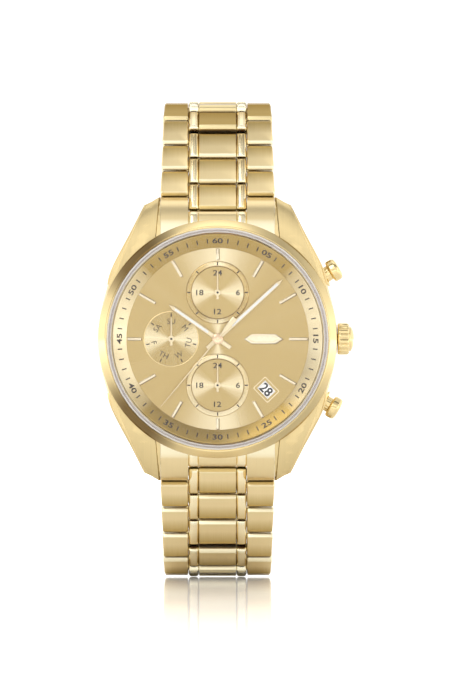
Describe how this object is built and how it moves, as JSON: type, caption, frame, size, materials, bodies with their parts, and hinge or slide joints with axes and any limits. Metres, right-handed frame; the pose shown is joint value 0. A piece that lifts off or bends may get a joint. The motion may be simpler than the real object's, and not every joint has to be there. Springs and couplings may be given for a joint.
{
  "type": "chronograph wristwatch",
  "caption": "Round chronograph wristwatch with fluted crown, pump pushers, three small dials, date window and tapering link bracelet with folding clasp.",
  "frame": {"origin": "middle of the case back's outer face", "axes": "-Y out of the dial, +Y out of the case back into the bracelet's loop, +Z to 12 o'clock, +X to 3 o'clock and the crown"},
  "size_m": [0.0454, 0.0393, 0.0846],
  "materials": {
    "brushed_gold_steel": "fine brushed, gold plated",
    "polished_gold_steel": "mirror polished, gold plated",
    "mineral_glass": "clear, polished bevel",
    "gasket_nylon": "translucent white nylon",
    "dial_brass": "sunray brushed, champagne gold, dark brown printing",
    "hand_gilt": "polished gilt with white luminous strips",
    "date_disc_white": "white with black printed numbers",
    "movement_brass": "nickel plated, fine circular grain",
    "plain_steel": "plain turned",
    "holder_plastic": "moulded, off white",
    "circuit_board": "solder masked",
    "coil_copper": "wound enamelled wire"
  },
  "bodies": {
    "case": {"case_body": "brushed_gold_steel", "case_back": "brushed_gold_steel", "case_back_gasket": "gasket_nylon", "bezel": "polished_gold_steel", "crystal": "mineral_glass", "crystal_gasket": "gasket_nylon", "chapter_ring": "dial_brass", "dial": "dial_brass", "movement_holder": "holder_plastic", "movement_plate": "movement_brass", "circuit_board": "circuit_board", "battery": "plain_steel", "battery_clamp": "plain_steel", "drive_coil": "coil_copper", "crown_tube": "plain_steel", "upper_pusher_collar": "polished_gold_steel", "lower_pusher_collar": "polished_gold_steel", "upper_end_link": "brushed_gold_steel", "lower_end_link": "brushed_gold_steel", "upper_spring_bar": "plain_steel", "lower_spring_bar": "plain_steel"},
    "minute_hand": {"minute_hand": "hand_gilt"},
    "hour_hand": {"hour_hand": "hand_gilt"},
    "chronograph_hand": {"chronograph_hand": "hand_gilt"},
    "upper_subdial_hand": {"upper_subdial_hand": "hand_gilt"},
    "lower_subdial_hand": {"lower_subdial_hand": "hand_gilt"},
    "day_hand": {"day_hand": "hand_gilt"},
    "date_disc": {"date_disc": "date_disc_white"},
    "setting_lever": {"setting_lever": "plain_steel"},
    "crown": {"crown": "polished_gold_steel", "crown_stem": "plain_steel"},
    "upper_pusher": {"upper_pusher": "polished_gold_steel"},
    "lower_pusher": {"lower_pusher": "polished_gold_steel"},
    "upper_link_01": {"upper_link_01": "brushed_gold_steel"},
    "upper_link_02": {"upper_link_02": "brushed_gold_steel"},
    "upper_link_03": {"upper_link_03": "brushed_gold_steel"},
    "upper_link_04": {"upper_link_04": "brushed_gold_steel"},
    "upper_link_05": {"upper_link_05": "brushed_gold_steel"},
    "upper_link_06": {"upper_link_06": "brushed_gold_steel"},
    "upper_link_07": {"upper_link_07": "brushed_gold_steel"},
    "upper_link_08": {"upper_link_08": "brushed_gold_steel"},
    "upper_link_09": {"upper_link_09": "brushed_gold_steel"},
    "upper_link_10": {"upper_link_10": "brushed_gold_steel"},
    "upper_link_11": {"upper_link_11": "brushed_gold_steel"},
    "lower_link_01": {"lower_link_01": "brushed_gold_steel"},
    "lower_link_02": {"lower_link_02": "brushed_gold_steel"},
    "lower_link_03": {"lower_link_03": "brushed_gold_steel"},
    "lower_link_04": {"lower_link_04": "brushed_gold_steel"},
    "lower_link_05": {"lower_link_05": "brushed_gold_steel"},
    "lower_link_06": {"lower_link_06": "brushed_gold_steel"},
    "lower_link_07": {"lower_link_07": "brushed_gold_steel"},
    "lower_link_08": {"lower_link_08": "brushed_gold_steel"},
    "lower_link_09": {"lower_link_09": "brushed_gold_steel"},
    "lower_link_10": {"lower_link_10": "brushed_gold_steel"},
    "lower_link_11": {"lower_link_11": "brushed_gold_steel"},
    "clasp_cover": {"clasp_cover": "brushed_gold_steel"},
    "clasp_outer_blade": {"clasp_outer_blade": "polished_gold_steel"},
    "clasp_inner_blade": {"clasp_inner_blade": "polished_gold_steel"},
    "clasp_button_left": {"clasp_button_left": "polished_gold_steel"},
    "clasp_button_right": {"clasp_button_right": "polished_gold_steel"}
  },
  "joints": [
    {"name": "minute_hand_turn", "type": "hinge", "parent": "case", "child": "minute_hand", "pos_m": [0, -0.00812, 0], "axis": [0, 1, 0], "continuous": true},
    {"name": "hour_hand_turn", "type": "hinge", "parent": "case", "child": "hour_hand", "pos_m": [0, -0.0078, 0], "axis": [0, 1, 0], "continuous": true},
    {"name": "chronograph_hand_turn", "type": "hinge", "parent": "case", "child": "chronograph_hand", "pos_m": [0, -0.00842, 0], "axis": [0, 1, 0], "continuous": true},
    {"name": "upper_subdial_hand_turn", "type": "hinge", "parent": "case", "child": "upper_subdial_hand", "pos_m": [0, -0.00745, 0.0082], "axis": [0, 1, 0], "continuous": true},
    {"name": "lower_subdial_hand_turn", "type": "hinge", "parent": "case", "child": "lower_subdial_hand", "pos_m": [0, -0.00745, -0.0082], "axis": [0, 1, 0], "continuous": true},
    {"name": "day_hand_turn", "type": "hinge", "parent": "case", "child": "day_hand", "pos_m": [-0.0082, -0.00745, 0], "axis": [0, 1, 0], "continuous": true},
    {"name": "date_disc_turn", "type": "hinge", "parent": "case", "child": "date_disc", "pos_m": [0, -0.0061, 0], "axis": [0, 1, 0], "continuous": true},
    {"name": "crown_pull", "type": "slide", "parent": "case", "child": "setting_lever", "axis": [1, 0, 0], "range_m": [0, 0.001]},
    {"name": "crown_turn", "type": "hinge", "parent": "setting_lever", "child": "crown", "pos_m": [0.02145, -0.0046, 0], "axis": [1, 0, 0], "continuous": true},
    {"name": "upper_pusher_press", "type": "slide", "parent": "case", "child": "upper_pusher", "axis": [-0.8607, 0, -0.509], "range_m": [0, 0.0008], "stiffness_N_per_m": 1500, "springref_m": -0.0004},
    {"name": "lower_pusher_press", "type": "slide", "parent": "case", "child": "lower_pusher", "axis": [-0.8607, 0, 0.509], "range_m": [0, 0.0008], "stiffness_N_per_m": 1500, "springref_m": -0.0004},
    {"name": "upper_link_01_hinge", "type": "hinge", "parent": "case", "child": "upper_link_01", "pos_m": [0, -0.0015, 0.0238], "axis": [1, 0, 0], "range_deg": [0, 21]},
    {"name": "upper_link_02_hinge", "type": "hinge", "parent": "upper_link_01", "child": "upper_link_02", "pos_m": [0, 0.00026, 0.02837], "axis": [1, 0, 0], "range_deg": [0, 1.5]},
    {"name": "upper_link_03_hinge", "type": "hinge", "parent": "upper_link_02", "child": "upper_link_03", "pos_m": [0, 0.00213, 0.0329], "axis": [1, 0, 0], "range_deg": [0, 2.5]},
    {"name": "upper_link_04_hinge", "type": "hinge", "parent": "upper_link_03", "child": "upper_link_04", "pos_m": [0, 0.0042, 0.03734], "axis": [1, 0, 0], "range_deg": [0, 28]},
    {"name": "upper_link_05_hinge", "type": "hinge", "parent": "upper_link_04", "child": "upper_link_05", "pos_m": [0, 0.00812, 0.04029], "axis": [1, 0, 0], "range_deg": [0, 32]},
    {"name": "upper_link_06_hinge", "type": "hinge", "parent": "upper_link_05", "child": "upper_link_06", "pos_m": [0, 0.013, 0.04072], "axis": [1, 0, 0], "range_deg": [0, 29]},
    {"name": "upper_link_07_hinge", "type": "hinge", "parent": "upper_link_06", "child": "upper_link_07", "pos_m": [0, 0.01747, 0.03873], "axis": [1, 0, 0], "range_deg": [0, 25]},
    {"name": "upper_link_08_hinge", "type": "hinge", "parent": "upper_link_07", "child": "upper_link_08", "pos_m": [0, 0.02069, 0.03503], "axis": [1, 0, 0], "range_deg": [0, 15]},
    {"name": "upper_link_09_hinge", "type": "hinge", "parent": "upper_link_08", "child": "upper_link_09", "pos_m": [0, 0.02284, 0.03062], "axis": [1, 0, 0], "range_deg": [0, 9]},
    {"name": "upper_link_10_hinge", "type": "hinge", "parent": "upper_link_09", "child": "upper_link_10", "pos_m": [0, 0.02427, 0.02594], "axis": [1, 0, 0], "range_deg": [0, 7]},
    {"name": "upper_link_11_hinge", "type": "hinge", "parent": "upper_link_10", "child": "upper_link_11", "pos_m": [0, 0.02512, 0.02111], "axis": [1, 0, 0], "range_deg": [0, 6]},
    {"name": "lower_link_01_hinge", "type": "hinge", "parent": "case", "child": "lower_link_01", "pos_m": [0, -0.0015, -0.0238], "axis": [-1, 0, 0], "range_deg": [0, 21]},
    {"name": "lower_link_02_hinge", "type": "hinge", "parent": "lower_link_01", "child": "lower_link_02", "pos_m": [0, 0.00026, -0.02837], "axis": [-1, 0, 0], "range_deg": [0, 1.5]},
    {"name": "lower_link_03_hinge", "type": "hinge", "parent": "lower_link_02", "child": "lower_link_03", "pos_m": [0, 0.00213, -0.0329], "axis": [-1, 0, 0], "range_deg": [0, 2.5]},
    {"name": "lower_link_04_hinge", "type": "hinge", "parent": "lower_link_03", "child": "lower_link_04", "pos_m": [0, 0.0042, -0.03734], "axis": [-1, 0, 0], "range_deg": [0, 28]},
    {"name": "lower_link_05_hinge", "type": "hinge", "parent": "lower_link_04", "child": "lower_link_05", "pos_m": [0, 0.00812, -0.04029], "axis": [-1, 0, 0], "range_deg": [0, 32]},
    {"name": "lower_link_06_hinge", "type": "hinge", "parent": "lower_link_05", "child": "lower_link_06", "pos_m": [0, 0.013, -0.04072], "axis": [-1, 0, 0], "range_deg": [0, 29]},
    {"name": "lower_link_07_hinge", "type": "hinge", "parent": "lower_link_06", "child": "lower_link_07", "pos_m": [0, 0.01747, -0.03873], "axis": [-1, 0, 0], "range_deg": [0, 25]},
    {"name": "lower_link_08_hinge", "type": "hinge", "parent": "lower_link_07", "child": "lower_link_08", "pos_m": [0, 0.02069, -0.03503], "axis": [-1, 0, 0], "range_deg": [0, 15]},
    {"name": "lower_link_09_hinge", "type": "hinge", "parent": "lower_link_08", "child": "lower_link_09", "pos_m": [0, 0.02284, -0.03062], "axis": [-1, 0, 0], "range_deg": [0, 9]},
    {"name": "lower_link_10_hinge", "type": "hinge", "parent": "lower_link_09", "child": "lower_link_10", "pos_m": [0, 0.02427, -0.02594], "axis": [-1, 0, 0], "range_deg": [0, 7]},
    {"name": "lower_link_11_hinge", "type": "hinge", "parent": "lower_link_10", "child": "lower_link_11", "pos_m": [0, 0.02512, -0.02111], "axis": [-1, 0, 0], "range_deg": [0, 6]},
    {"name": "clasp_cover_hinge", "type": "hinge", "parent": "upper_link_11", "child": "clasp_cover", "pos_m": [0, 0.02546, 0.01622], "axis": [1, 0, 0], "range_deg": [0, 4]},
    {"name": "clasp_outer_blade_hinge", "type": "hinge", "parent": "clasp_cover", "child": "clasp_outer_blade", "pos_m": [0, 0.02598, -0.01178], "axis": [1, 0, 0], "range_deg": [0, 60]},
    {"name": "clasp_inner_blade_hinge", "type": "hinge", "parent": "clasp_outer_blade", "child": "clasp_inner_blade", "pos_m": [0, 0.02508, 0.01122], "axis": [-1, 0, 0], "range_deg": [0, 60]},
    {"name": "clasp_button_left_press", "type": "slide", "parent": "clasp_cover", "child": "clasp_button_left", "axis": [1, 0, 0], "range_m": [0, 0.0005], "stiffness_N_per_m": 500, "springref_m": -0.0004},
    {"name": "clasp_button_right_press", "type": "slide", "parent": "clasp_cover", "child": "clasp_button_right", "axis": [-1, 0, 0], "range_m": [0, 0.0005], "stiffness_N_per_m": 500, "springref_m": -0.0004}
  ],
  "couplings": [
    {"joint": "hour_hand_turn", "follows": "minute_hand_turn", "ratio": 0.083333},
    {"joint": "upper_subdial_hand_turn", "follows": "minute_hand_turn", "ratio": 0.041667},
    {"joint": "day_hand_turn", "follows": "minute_hand_turn", "ratio": 0.0059524},
    {"joint": "date_disc_turn", "follows": "minute_hand_turn", "ratio": 0.0013441},
    {"joint": "clasp_inner_blade_hinge", "follows": "clasp_outer_blade_hinge", "ratio": 1}
  ]
}
